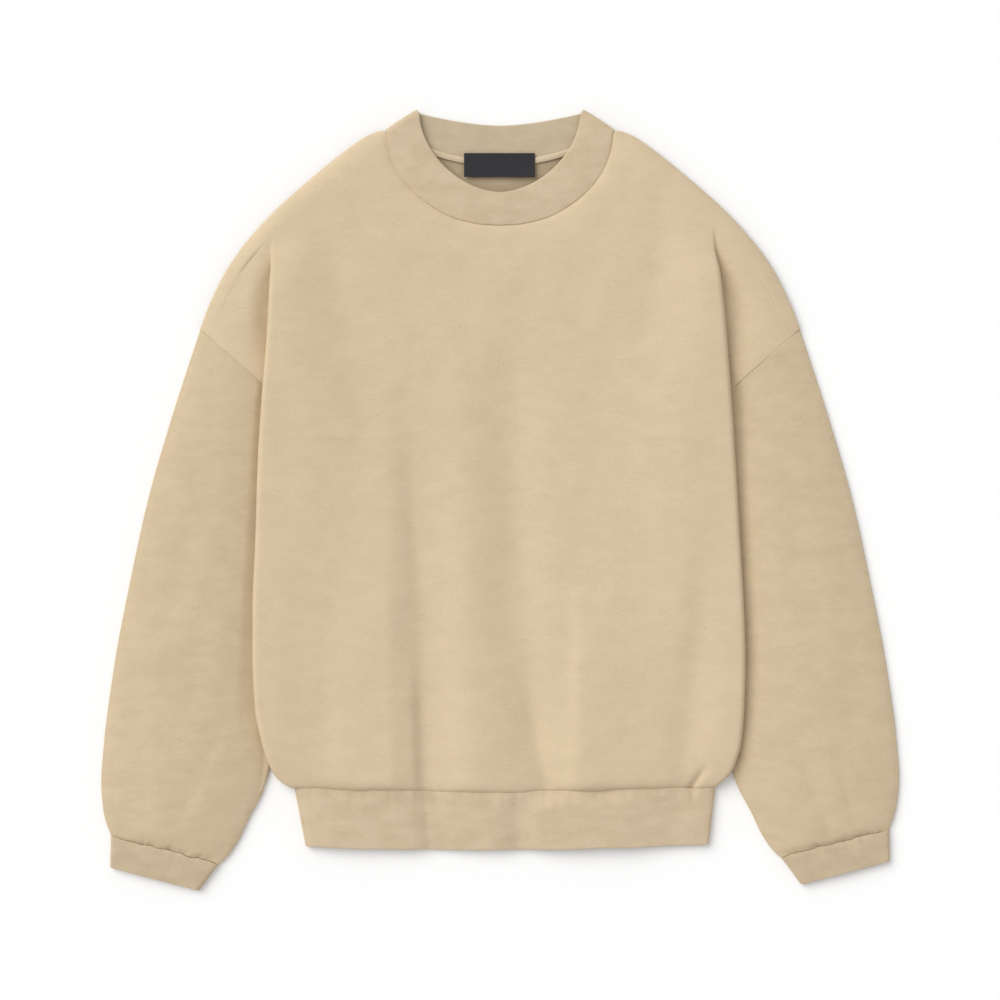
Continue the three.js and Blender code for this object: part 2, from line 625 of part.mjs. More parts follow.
function neckLabel() {
  const z = RIB + STACK + TAPE + STACK + LABEL / 2;
  return new THREE.BoxGeometry(LABEL_SIZE.x, LABEL_SIZE.y, LABEL).translate(LABEL_AT.x, LABEL_AT.y, z);
}

const fleece = new THREE.MeshStandardMaterial({ color: 0xd4c19f, roughness: 0.95, metalness: 0 });
const rib = new THREE.MeshStandardMaterial({ color: 0xcab693, roughness: 0.95, metalness: 0 });
const blackLabel = new THREE.MeshStandardMaterial({ color: 0x2c2a2b, roughness: 0.55, metalness: 0 });

const garment = new THREE.Group();
garment.name = "crewneck_sweatshirt";
function add(name, geometry, material) {
  const mesh = new THREE.Mesh(geometry, material);
  mesh.name = name;
  garment.add(mesh);
}

add("body_front", frontPanel(), fleece);
add("body_back", backPanel(), fleece);
for (const side of ["left", "right"]) {
  add(`sleeve_${side}`, tubeGeometry(side, SLEEVE, FLEECE, SLEEVE_COUNTS), fleece);
  add(`cuff_${side}`, tubeGeometry(side, CUFF, RIB, CUFF_COUNTS), rib);
}
add("waistband", waistband(), rib);
add("collar", collar(), rib);
add("neck_tape", neckTape(), fleece);
add("neck_label", neckLabel(), blackLabel);

export default garment;
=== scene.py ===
# The looks of a crewneck sweatshirt laid flat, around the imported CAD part. Metres in Blender; the tables are in mm.
import math

import bpy
import numpy as np
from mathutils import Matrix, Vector


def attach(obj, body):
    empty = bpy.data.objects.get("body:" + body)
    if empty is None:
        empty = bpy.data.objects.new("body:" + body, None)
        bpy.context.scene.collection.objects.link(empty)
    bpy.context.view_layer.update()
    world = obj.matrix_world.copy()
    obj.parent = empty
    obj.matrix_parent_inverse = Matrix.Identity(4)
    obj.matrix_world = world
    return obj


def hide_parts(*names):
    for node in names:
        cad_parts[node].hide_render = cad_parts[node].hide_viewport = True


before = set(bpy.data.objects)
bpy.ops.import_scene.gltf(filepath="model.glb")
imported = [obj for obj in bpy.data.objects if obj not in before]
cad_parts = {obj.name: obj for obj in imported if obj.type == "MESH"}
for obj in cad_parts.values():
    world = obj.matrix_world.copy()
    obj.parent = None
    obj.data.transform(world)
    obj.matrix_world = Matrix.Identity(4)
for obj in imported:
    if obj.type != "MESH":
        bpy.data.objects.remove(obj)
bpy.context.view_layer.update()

MM = 0.001

# Thicknesses, and the air between layers that lie on each other
FLEECE = 2.0
RIB = 3.0
TAPE = 1.0
LABEL = 0.7
LAYER = 0.6

# Heights of the middle of each layer above the floor
BACK_Z = FLEECE / 2
FRONT_Z = BACK_Z + FLEECE + LAYER
UNDER_Z = FRONT_Z + FLEECE + 1.2  # of what is folded under at the sides
HEM_UNDER_Z = 3.0  # the same at the hem
SIDE_SEAM_Z = 0.1
RIB_LOW_Z = RIB / 2
RIB_TOP_Z = RIB_LOW_Z + RIB + LAYER

# The front's loft and the soft fold along each side
LOFT = 8.0
BLOUSE_Z = 13.0  # fullness above the waistband
BLOUSE_REACH = (90, 14)  # above the waistband, from none of it to all of it
EDGE_RADIUS = 3.6
EDGE_Z = UNDER_Z + 2 * EDGE_RADIUS
EDGE_EXTRA = {"left": (2.4, 5.0), "right": (2.4, 6.8)}  # how much higher the fold lies, below and at the armpit
ARMPIT_RISE = (20, 160)  # y over which it rises from the first to the second
HEM_RISE = (-272, -225)  # y over which it rises above the hem
SIDE_REACH = 50  # from the flat middle to the fold
SIDE_TURN = 2.2  # radius of the turn down to the side seam
NECK_ROUNDING = 45
SHOULDER_ROUNDING = 24
HEM_ROUNDING = (11, 30)  # in the middle and at the sides
NECK_CORNER = 14  # how far beside the collar the shoulder's edge is raised to it

# The pleat at the armpit and the shoulder cap beyond it. Shares are of the way down from the shoulder to the underarm.
PLEAT_TOP = 0.09  # where it begins to turn
PLEAT_FLAT = 0.34  # where it lies flat
PLEAT_START = 0.18  # where its inner fold begins to go under
PLEAT_PAST = 5.0  # how far that fold ends inside the underarm
PLEAT_REACH = 26.0
PLEAT_RADIUS = (UNDER_Z - FRONT_Z) / 2
CAP_LOFT = 7.5
CAP_REACH = {"left": 24.0, "right": 60.0}  # from the pleat to the full loft

# The sleeves' crown: how round it is, and the share of the width that the valley beside the body takes
CROWN_POWER = 0.7
VALLEY_SHARE = 0.15

# The waistband's upper layer
BAND_AIR = 0.6
BAND_LIFT = 2.2
BAND_DEEPEST = -3.8  # the most that a fold lowers it

# Columns of the front's grid, from the middle to the neck's side and on to the fold
NECK_COLUMNS = 38
SIDE_COLUMNS = 32

NECK_HALF = 106.4
NECK_Y = 347.7
NECK_DROP = 87.4
BACK_NECK_DROP = 28.5
BACK_NECK_Y = 320.2
ARMHOLE_TOP = (285.0, 162.5)
UNDERARM = (167.0, 59.0)
ARMHOLE_END = 0.97
HEM_BAND = 55.5

# The shoulder line by half width
SHOULDER = [
    (106.4, 348.6), (109.8, 350.6), (113, 350.4), (124.5, 346.4), (142.5, 334.6), (180.5, 304), (221.8, 266),
    (253.2, 228), (274.1, 190), (285, 162.5),
]

# y, and the body's half width there on the left and the right
BODY_EDGE = [
    (285, 217.5, 203), (250, 218, 204.3), (216, 218.5, 209), (170, 220.4, 213.8), (95, 226.2, 219.6),
    (35, 229.9, 223.6), (-45, 232.4, 228.2), (-95, 234.6, 231), (-150, 234.8, 232.8), (-195, 232.8, 231.8),
    (-230, 226.2, 228.8), (-253, 218.2, 222.2), (-263, 212.2, 216.4), (-270, 204, 207.6), (-274, 195.6, 202),
]

# y and half width of the side seams
SIDE_SEAM = [
    (59, 166), (0, 177), (-60, 190), (-120, 200), (-180, 207), (-225, 209), (-250, 204.5), (-264, 198), (-276, 190),
]

# x and y of the waistband's seam and lower edge, and its half widths there
HEM_SEAM = [(-200, -273.2), (-100, -275.4), (0, -277.2), (60, -275.6), (120, -274.6), (207, -272)]
HEM_EDGE = [(-190, -330.6), (-20, -332.6), (60, -331.4), (200, -327.2)]
BAND_TOP = {"left": 195.4, "right": 204.6}
BAND_BOTTOM = {"left": 184.9, "right": 198.4}

# The sleeve and the cuff: outer x and y, inner x and y, width that the body covers, loft
SLEEVE = [
    (284.8, 162.7, 173.1, 64.7, 64, 6.4), (313, 76, 181.6, 13, 47, 7.6), (334.9, 0, 192.5, -54, 35, 8.4),
    (351.5, -76, 202.4, -121, 27, 8.8), (366.2, -152, 211.2, -187, 18, 9.2), (376.4, -225, 217.2, -243, 6, 9.4),
    (379.4, -266, 225.6, -274, 1, 9.2), (377.6, -290, 238, -298, 0, 8.6), (374.6, -304, 249.6, -322, 0, 7.6),
    (371.4, -312.4, 260, -336.6, 0, 5.2), (370.2, -315.6, 267.4, -342.6, 0, 1.6),
]
CUFF = [
    (370.0, -315.8, 267.6, -342.8, 0, 0.4), (370.1, -320.4, 270.4, -346.6, 0, 1.6),
    (370.4, -332, 277.6, -356.6, 0, 1.6), (370.6, -346.4, 286.2, -368.4, 0, 0.8),
]
CUFF_DROP = {"left": -3.0, "right": 3.0}  # the sleeves differ a little in length

COLLAR_HALF = 78.8
COLLAR_TOP = 367.6
COLLAR_DIP = 75.2
COLLAR_ROUND = 1.8
COLLAR_BACK_DIP = 11.5
COLLAR_SIDE_Z = 7.4
COLLAR_FREE_Z = 8.0
COLLAR_SEAM_Z = 7.4
COLLAR_FOLD = 3.85  # how far its folds at the shoulders stand out beyond its middle
COLLAR_OUT = (0.6, 0.8)  # the way in which they stand out
COLLAR_SIDE_Y = NECK_Y - COLLAR_OUT[1] * COLLAR_FOLD + 2.8
COLLAR_WIDTH = 30.0
COLLAR_BULGE = 0.9
COLLAR_BACK_BULGE = 0.35
COLLAR_SHADE_BELOW_Z = 0.72 * COLLAR_SIDE_Z  # below this height the collar gets the darker rib: painted shade of its inner side in the neck
TAPE_HALF = 70.0
TAPE_WIDTH = 6.0
LABEL_SIZE = (67.4, 22.8)
LABEL_AT = (-0.5, 318.2)
LABEL_Z = 5.3

TURN = {"left": -1, "right": 1}

# Soft folds of the front: the line of each, its width to the left and right of it, how far it rises,
# and the shares of its length over which it fades in and out.
BODY_FOLDS = [
    ([(-90, 170), (-82, 40), (-76, -57), (-68, -190), (-64, -280)], 15, 34, -4.9, 0.5, 0.0),
    ([(8, 225), (12, 60), (16, -57), (28, -190), (42, -280)], 26, 22, -5.8, 0.45, 0.0),
    ([(78, -60), (78, -150), (73, -280)], 9, 52, 4.0, 0.45, 0.0),
    ([(24, -160), (34, -220), (48, -280)], 10, 8, -2.6, 0.5, 0.0),
    ([(-79, -130), (-76, -215), (-74, -280)], 5, 18, -2.8, 0.5, 0.0),
    ([(-40, 150), (-38, 0), (-34, -120), (-28, -280)], 18, 22, 2.0, 0.5, 0.0),
    ([(-104, 40), (-110, -110), (-106, -280)], 60, 14, 3.2, 0.5, 0.0),
    ([(150, 230), (168, 90), (170, -60), (158, -230)], 46, 22, 3.4, 0.4, 0.3),
    ([(205, 30), (198, -100), (184, -210), (176, -278)], 16, 24, -4.0, 0.4, 0.0),
    ([(-200, 60), (-202, -100), (-196, -220)], 12, 20, -1.0, 0.3, 0.3),
    ([(120, 285), (150, 240), (172, 180)], 14, 18, -1.0, 0.4, 0.4),
    ([(-118, 290), (-150, 238), (-170, 175)], 14, 18, -0.8, 0.4, 0.4),
    ([(-60, 262), (-82, 200), (-92, 135)], 16, 22, -0.8, 0.4, 0.5),
    ([(58, 262), (76, 205), (80, 150)], 18, 22, -0.7, 0.4, 0.5),
    ([(179, -277), (186, -267), (193, -257), (197, -249)], 2.6, 3.2, -8.0, 0.0, 0.45),
    ([(192, -277), (198, -266), (204, -253)], 6.0, 6.0, 1.6, 0.2, 0.4),
]
BAND_FOLDS = [
    ([(-68, -268), (-62, -336)], 13, 28, -4.2, 0.0, 0.0),
    ([(18, -268), (20, -336)], 13, 20, -3.4, 0.0, 0.0),
    ([(172, -268), (170, -336)], 24, 36, -2.4, 0.0, 0.0),
    ([(112, -268), (112, -336)], 62, 26, 2.6, 0.0, 0.0),
    ([(-140, -268), (-138, -336)], 30, 26, 0.8, 0.0, 0.0),
]
CAP_FOLDS = [
    ([(-236, 230), (-250, 190), (-258, 150)], 10, 12, -0.8, 0.4, 0.5),
    ([(232, 226), (246, 190), (254, 152)], 10, 12, -0.9, 0.4, 0.5),
]
BACK_FOLDS = [
    ([(-80, 150), (-70, -60), (-58, -270)], 16, 24, 2.0, 0.4, 0.0),
    ([(30, 200), (34, -40), (44, -270)], 18, 24, 1.8, 0.4, 0.0),
    ([(110, 60), (118, -120), (112, -268)], 14, 22, 1.4, 0.4, 0.0),
    ([(-130, 0), (-128, -150), (-120, -268)], 16, 20, 1.2, 0.4, 0.0),
    ([(-140, 200), (-60, 240), (40, 236), (130, 196)], 18, 22, 1.0, 0.4, 0.4),
]
# On a sleeve the first coordinate is the share of its width from the inner fold, times 100, and the second y.
SLEEVE_FOLDS = {
    "left": [
        ([(64, 60), (70, -60), (74, -160)], 10, 12, -1.2, 0.4, 0.4),
        ([(46, -40), (52, -150), (50, -250)], 9, 12, -1.2, 0.4, 0.3),
        ([(28, -190), (40, -262), (48, -318)], 6, 8, -1.0, 0.4, 0.1),
        ([(86, -160), (80, -240), (72, -300)], 6, 9, -0.9, 0.4, 0.2),
    ],
    "right": [
        ([(66, 90), (60, -30), (58, -140)], 10, 13, -1.2, 0.4, 0.4),
        ([(76, -90), (80, -180), (74, -262)], 8, 10, -1.0, 0.4, 0.3),
        ([(36, -210), (46, -280), (50, -326)], 5, 7, -1.1, 0.4, 0.1),
        ([(62, -240), (68, -290), (70, -314)], 4, 6, -1.0, 0.4, 0.1),
    ],
}


def lerp(a, b, t):
    return a + (b - a) * t


def clamp(value, low=0.0, high=1.0):
    return np.minimum(np.maximum(value, low), high)


def smooth(start, end, at):
    """0 before the start and 1 past the end, with an even rise between them."""
    t = clamp((at - start) / (end - start))
    return t * t * (3 - 2 * t)


def rounded(distance, reach):
    """A quarter circle from 0 at no distance to 1 at its reach."""
    return np.sqrt(1 - (1 - clamp(distance / reach)) ** 2)


def steps(count, first=0):
    return [i / count for i in range(first, count + 1)]


def eased(count, first=0):
    """Steps that lie closer together at both ends."""
    return [lerp(s, 0.5 - 0.5 * math.cos(math.pi * s), 0.6) for s in steps(count, first)]


def curve(rows, value=1):
    """A smooth function through a table's rows that doesn't overshoot them."""
    at = np.array([row[0] for row in rows], float)
    to = np.array([row[value] for row in rows], float)
    if at[0] > at[-1]:
        at, to = at[::-1], to[::-1]
    slopes = np.diff(to) / np.diff(at)
    before = np.concatenate([slopes[:1], slopes])
    after = np.concatenate([slopes, slopes[-1:]])
    same = before * after > 0
    tangents = np.where(same, 2 * before * after / np.where(same, before + after, 1), 0)

    def read(x):
        x = clamp(x, at[0], at[-1])
        i = np.clip(np.searchsorted(at, x) - 1, 0, len(at) - 2)
        span = at[i + 1] - at[i]
        t = (x - at[i]) / span
        rest = 1 - t
        return (
            to[i] * rest * rest * (1 + 2 * t)
            + to[i + 1] * t * t * (3 - 2 * t)
            + span * t * rest * (tangents[i] * rest - tangents[i + 1] * t)
        )

    return read


shoulder_y = curve(SHOULDER)
side_seam_x = curve(SIDE_SEAM)
hem_line_y = curve(HEM_SEAM)
hem_edge_y = curve(HEM_EDGE)
body_edge_x = {"left": curve(BODY_EDGE, 1), "right": curve(BODY_EDGE, 2)}


SEEDS = 64
LATTICE = 64
LATTICES = [np.random.default_rng(seed).uniform(-1, 1, (LATTICE, LATTICE)) for seed in range(SEEDS)]


def uneven(x, y, size, seed):
    """A soft random height between about -1 and 1, with bumps of this size."""
    lattice = LATTICES[seed]
    u, v = np.asarray(x) / size + LATTICE / 2, np.asarray(y) / size + LATTICE / 2
    i, j = np.floor(u).astype(int), np.floor(v).astype(int)
    s, t = smooth(0, 1, u - i), smooth(0, 1, v - j)

    def at(a, b):
        return lattice[a % LATTICE, b % LATTICE]

    return lerp(lerp(at(i, j), at(i + 1, j), s), lerp(at(i, j + 1), at(i + 1, j + 1), s), t)


def uneven_along(x, size, seed):
    return uneven(x, 0 * x, size, seed)


def hem_seam_y(x):
    x = np.asarray(x, float)
    return hem_line_y(x) + 0.8 * uneven_along(x, 19, 31) + 0.35 * uneven_along(x, 6, 32)


def softened(path):
    """The path with its corners rounded off."""
    path = np.array(path, float)
    for _ in range(2):
        cut = [path[0]]
        for a, b in zip(path[:-1], path[1:]):
            cut += [lerp(a, b, 0.25), lerp(a, b, 0.75)]
        path = np.array([*cut, path[-1]])
    return path


def fold_heights(table, x, y):
    """The height that a table of folds adds at each place."""
    x, y = np.broadcast_arrays(np.asarray(x, float), np.asarray(y, float))
    total = np.zeros(x.shape)
    for line, left, right, rise, fade_in, fade_out in table:
        path = softened(line)
        step = np.diff(path, axis=0)
        length = np.hypot(step[:, 0], step[:, 1])
        start = np.concatenate([[0], np.cumsum(length)])
        nearest = np.full(x.shape, 1e9)
        offset = np.zeros(x.shape)
        share = np.zeros(x.shape)
        for p, d, size, before in zip(path, step, length, start):
            t = clamp(((x - p[0]) * d[0] + (y - p[1]) * d[1]) / size**2)
            dx, dy = x - p[0] - t * d[0], y - p[1] - t * d[1]
            distance = np.hypot(dx, dy)
            closer = distance < nearest
            nearest = np.where(closer, distance, nearest)
            offset = np.where(closer, distance * np.sign(d[0] * dy - d[1] * dx), offset)
            share = np.where(closer, (before + t * size) / start[-1], share)
        width = np.where(offset > 0, right, left)
        kept = np.ones(x.shape)
        if fade_in:
            kept = kept * smooth(0, fade_in, share)
        if fade_out:
            kept = kept * smooth(1, 1 - fade_out, share)
        total += rise * kept * np.exp(-((offset / width) ** 2))
    return total


def field(table, low, high, step=1.6):
    """The heights of a table of folds, worked out once on a raster and read between its points."""
    xs, ys = (np.arange(a, b + 2 * step, step) for a, b in zip(low, high))
    heights = fold_heights(table, xs[:, None], ys[None, :])

    def read(x, y):
        u = np.clip((x - low[0]) / step, 0, len(xs) - 1.001)
        v = np.clip((y - low[1]) / step, 0, len(ys) - 1.001)
        i, j = u.astype(int), v.astype(int)
        lower = lerp(heights[i, j], heights[i + 1, j], u - i)
        upper = lerp(heights[i, j + 1], heights[i + 1, j + 1], u - i)
        return lerp(lower, upper, v - j)

    return read


body_folds = field(BODY_FOLDS, (-245, -300), (245, 360))
cap_folds = field(CAP_FOLDS, (-300, 40), (300, 300))


# The rounded rim of a cloth: how far inwards its lines lie, as shares of half its thickness, and its height there
RIM_INWARD = (0, 0.12, 0.38, 0.7, 1)
RIM_HEIGHT = (0.06, 0.475, 0.785, 0.954)


def with_rim(grid, thickness, axis):
    """Lines of points just inside both edges, on which the cloth's rim is rounded."""
    grid = np.moveaxis(grid, axis, 0)

    def edge(first, second):
        length = np.linalg.norm((second - first)[..., :3], axis=-1, keepdims=True)
        reach = np.minimum(thickness / 2 / np.maximum(length, 1e-6), 0.9)
        return [first + (second - first) * k * reach for k in RIM_INWARD]

    lines = [*edge(grid[0], grid[1]), *grid[1:-1], *edge(grid[-1], grid[-2])[::-1]]
    return np.moveaxis(np.stack(lines), 0, axis)


def rim_profile(count):
    profile = np.ones(count)
    profile[: len(RIM_HEIGHT)] = RIM_HEIGHT
    profile[-len(RIM_HEIGHT) :] = RIM_HEIGHT[::-1]
    return profile


def neighbours_apart(places, axis):
    """The way from the neighbour before each place to the one after it, along one axis of the grid."""
    places = np.moveaxis(places, axis, 0)
    apart = np.empty_like(places)
    apart[1:-1] = places[2:] - places[:-2]
    apart[0] = places[1] - places[0]
    apart[-1] = places[-1] - places[-2]
    return np.moveaxis(apart, 0, axis)


def shell_faces(rows, columns, closed, flat):
    """The faces of both sides and the rims of a shell, and the places of their corners in the flat cut."""
    count = rows * columns
    last = columns if closed else columns - 1
    i, j = (a.ravel() for a in np.meshgrid(np.arange(rows - 1), np.arange(last), indexing="ij"))
    edge = np.arange(last)
    zero = np.zeros_like(edge)
    end = np.full_like(edge, rows - 1)

    def quad(*corner):
        """Faces from four corners, each a row, a column and a side of the cloth."""
        index = [r * columns + c % columns + side * count for r, c, side in corner]
        uv = [flat[r, c] for r, c, side in corner]
        return np.stack(index, 1), np.stack(uv, 1)

    parts = [
        quad((i, j, 0), (i, j + 1, 0), (i + 1, j + 1, 0), (i + 1, j, 0)),
        quad((i, j, 1), (i + 1, j, 1), (i + 1, j + 1, 1), (i, j + 1, 1)),
        quad((zero, edge + 1, 0), (zero, edge, 0), (zero, edge, 1), (zero, edge + 1, 1)),
        quad((end, edge, 0), (end, edge + 1, 0), (end, edge + 1, 1), (end, edge, 1)),
    ]
    if not closed:
        side = np.arange(rows - 1)
        first, final = np.zeros_like(side), np.full_like(side, columns - 1)
        parts.append(quad((side, first, 0), (side + 1, first, 0), (side + 1, first, 1), (side, first, 1)))
        parts.append(quad((side + 1, final, 0), (side, final, 0), (side, final, 1), (side + 1, final, 1)))
    return (np.concatenate([part[k] for part in parts]) for k in (0, 1))


def cloth(name, grid, thickness, material, closed=False, direction=None, around=0.0):
    """A closed shell of cloth around a grid of places (x, y, z, u, v in mm) in its middle.

    A closed one joins its last column to its first, and around is its whole length round. A direction stands in
    for that of the columns.
    """
    grid = with_rim(np.asarray(grid, float), thickness, 0)
    if not closed:
        grid = with_rim(grid, thickness, 1)
    rows, columns = grid.shape[:2]
    places, flat = grid[..., :3], grid[..., 3:5]
    if closed:
        across = np.roll(places, -1, axis=1) - np.roll(places, 1, axis=1)
        flat = np.concatenate([flat, flat[:, :1] + [around, 0]], axis=1)
    else:
        across = neighbours_apart(places, 1)
    along = neighbours_apart(places, 0)
    if direction is not None:
        along = np.broadcast_to(np.array(direction, float), places.shape)
    outward = np.cross(across, along)
    outward /= np.maximum(np.linalg.norm(outward, axis=-1, keepdims=True), 1e-9)
    half = thickness / 2 * rim_profile(rows)[:, None]
    if not closed:
        half = half * rim_profile(columns)[None, :]
    shift = outward * half[..., None]
    corners = np.concatenate([(places + shift).reshape(-1, 3), (places - shift).reshape(-1, 3)])
    corners[:, 2] = np.maximum(corners[:, 2], 0)
    faces, uv = shell_faces(rows, columns, closed, flat)
    a, b, c, d = (corners[faces[:, k]] for k in range(4))
    volume = np.einsum("ij,ij->", a, np.cross(b, c)) + np.einsum("ij,ij->", a, np.cross(c, d))
    if volume < 0:
        faces, uv = faces[:, ::-1], uv[:, ::-1]

    mesh = bpy.data.meshes.new(name)
    mesh.from_pydata((corners * MM).tolist(), [], faces.tolist())
    layer = mesh.uv_layers.new(name="cut")
    layer.data.foreach_set("uv", (uv * MM).ravel())
    mesh.polygons.foreach_set("use_smooth", np.ones(len(faces), bool))
    mesh.materials.append(material)
    mesh.update()
    piece = bpy.data.objects.new(name, mesh)
    bpy.context.scene.collection.objects.link(piece)
    return piece


# The front of the body

def neckline_y(x):
    bow = np.sqrt(np.maximum(0, 1 - (x / NECK_HALF) ** 2))
    return NECK_Y - NECK_DROP * bow + 0.6 * bow * uneven_along(np.abs(x), 9, 33)


def front_top_y(x):
    return np.where(x < NECK_HALF, neckline_y(x), shoulder_y(x))


def front_height(side, half, y, fold_x, tuck, raised):
    """The height of the front's middle at this half width and y. raised is the share that the side fold has."""
    x = TURN[side] * half
    seam_y = hem_seam_y(x)
    folds = body_folds(x, y)
    full = smooth(seam_y + BLOUSE_REACH[0], seam_y + BLOUSE_REACH[1], y)
    centre = lerp(FRONT_Z + LOFT, BLOUSE_Z, full) + folds
    centre = centre + 0.55 * uneven(x, y, 34, 1) + 0.3 * uneven(x, y, 15, 2)
    inward = 1 - smooth(0.6 * tuck, tuck + SIDE_REACH, fold_x - half)
    extra = lerp(*EDGE_EXTRA[side], smooth(*ARMPIT_RISE, y)) * smooth(*HEM_RISE, y)
    edge_z = EDGE_Z + extra + 0.35 * folds
    height = lerp(centre, lerp(FRONT_Z + LOFT, edge_z, raised), inward)
    shoulder_z = lerp(FRONT_Z, COLLAR_SEAM_Z, smooth(NECK_HALF + NECK_CORNER, NECK_HALF, half))
    low = RIB_TOP_Z + BAND_LIFT + BAND_AIR + 0.55 * folds + 0.35 * uneven_along(x, 7, 3)
    neck_gap = (np.hypot(half / NECK_HALF, np.maximum(NECK_Y - y, 0) / NECK_DROP) - 1) * NECK_DROP
    from_neck = rounded(neck_gap, NECK_ROUNDING) * smooth(-2, 4, neck_gap)
    beside_neck = smooth(NECK_HALF, NECK_HALF + 5, half)
    from_shoulder = lerp(1, rounded(front_top_y(half) - y, SHOULDER_ROUNDING), beside_neck)
    from_hem = rounded(y - seam_y, lerp(*HEM_ROUNDING, inward))
    upper_part = lerp(shoulder_z, lerp(COLLAR_SEAM_Z, height, from_neck), from_shoulder)
    return lerp(low, upper_part, from_hem)


def armhole_point(share):
    s = share * ARMHOLE_END
    return lerp(ARMHOLE_TOP[0], UNDERARM[0], s), lerp(ARMHOLE_TOP[1], UNDERARM[1], s)


def crown(across, width, tuck):
    """The share of its loft that a sleeve has here, with a soft valley beside the body that covers part of it."""
    hidden = tuck / width
    shown = clamp((across - hidden) / (1 - hidden))
    valley = lerp(1, smooth(0, VALLEY_SHARE, shown), smooth(4, 24, tuck))
    return np.maximum(0, np.sin(math.pi * shown)) ** CROWN_POWER * valley


def cap_height(share):
    out_x, out_y, in_x, in_y, tuck, loft = SLEEVE[0]
    width = math.hypot(out_x - in_x, out_y - in_y)
    return FRONT_Z + loft * crown(1 - share * ARMHOLE_END, width, tuck)


def pleat_columns(edge, tucked, top_x, upper, side):
    """The pleat at the armpit and the shoulder cap beyond it, as (x, y, z) of the right half."""
    edge_x, edge_y, edge_z = edge
    turned = float(smooth(PLEAT_TOP, PLEAT_FLAT, upper))
    valley_z = lerp(edge_z, FRONT_Z, turned)
    drop = edge_z - valley_z
    lean = max(math.pi * turned, drop / PLEAT_REACH, 0.001)
    edge_drop = max(EDGE_RADIUS, (edge_z - UNDER_Z) / 2)
    folded = (edge_drop + PLEAT_RADIUS) * (1 - math.cos(lean))
    wider = math.pi / lean
    if drop > 0:
        wider = min(wider, drop / folded * float(lerp(0.8, 1, smooth(math.pi / 2, math.pi, lean))))
    edge_radius, pleat_radius = EDGE_RADIUS * wider, PLEAT_RADIUS * wider
    slope = max(2 * (1 - lean), (drop - folded * wider) / math.sin(lean)) if lean < 3.1 else 0
    arm_x, arm_y = armhole_point(upper)
    still_open = 1 - float(smooth(math.pi / 2, math.pi, lean))

    def outline(x, start, kept=1.0):
        share = min((x - start) / max(arm_x - start, 1), 1) * kept if x > start else 0
        bulge = shoulder_y(lerp(top_x, ARMHOLE_TOP[0], share)) - lerp(shoulder_y(top_x), ARMHOLE_TOP[1], share)
        return float(lerp(edge_y, arm_y, share) + bulge * (1 - upper))

    made = []

    def put(x, z):
        made.append((x, outline(x, edge_x, still_open), z))

    for s in steps(10, 1):
        put(edge_x + edge_radius * math.sin(lean * s), edge_z - edge_drop * wider * (1 - math.cos(lean * s)))
    turn = made[-1]
    for s in steps(6, 1):
        put(turn[0] + (slope + tucked) * s * math.cos(lean), turn[2] - slope * s * math.sin(lean))
    low = made[-1]
    for s in steps(8, 1):
        rest = lean * (1 - s)
        put(
            low[0] + pleat_radius * (math.sin(lean) - math.sin(rest)),
            low[2] - pleat_radius * (math.cos(rest) - math.cos(lean)),
        )
    start = made[-1]
    begin = min(start[0], edge_x)
    clear_of = max(edge_x + EDGE_RADIUS, start[0])
    level = FRONT_Z + CAP_LOFT * float(rounded(upper, 0.25))
    for s in steps(26, 1):
        x = lerp(start[0], arm_x, s)
        z = float(lerp(start[2], level, smooth(clear_of, clear_of + CAP_REACH[side], x)))
        z += float(cap_folds(x * TURN[side], outline(x, begin)) * smooth(0, 0.1, upper) * smooth(1, 0.8, s))
        made.append((x, outline(x, begin), float(lerp(z, cap_height(upper), smooth(0.5, 1, s)))))
    return made


def side_columns(edge, seam_x):
    """The columns that fold under the body's side and come down to the side seam."""
    edge_x, edge_y, edge_z = edge
    under_z = float(lerp(UNDER_Z, HEM_UNDER_Z, smooth(-248, -270, edge_y)))
    radius = (edge_z - under_z) / 2
    turn_radius = min(SIDE_TURN, 0.6 * (under_z - SIDE_SEAM_Z))
    made = []
    for s in steps(10, 1):
        angle = math.pi * s
        made.append((edge_x + EDGE_RADIUS * math.sin(angle), edge_y, edge_z - radius * (1 - math.cos(angle))))
    for s in steps(6, 1):
        made.append((lerp(edge_x, min(seam_x + turn_radius, edge_x), s), edge_y, under_z))
    turn = made[-1]
    for s in steps(8, 1):
        angle = math.pi / 2 * s
        made.append((turn[0] - turn_radius * math.sin(angle), edge_y, turn[2] - turn_radius * (1 - math.cos(angle))))
    start = made[-1]
    for s in steps(26, 1):
        made.append((start[0], edge_y, lerp(start[2], SIDE_SEAM_Z, s)))
    return made


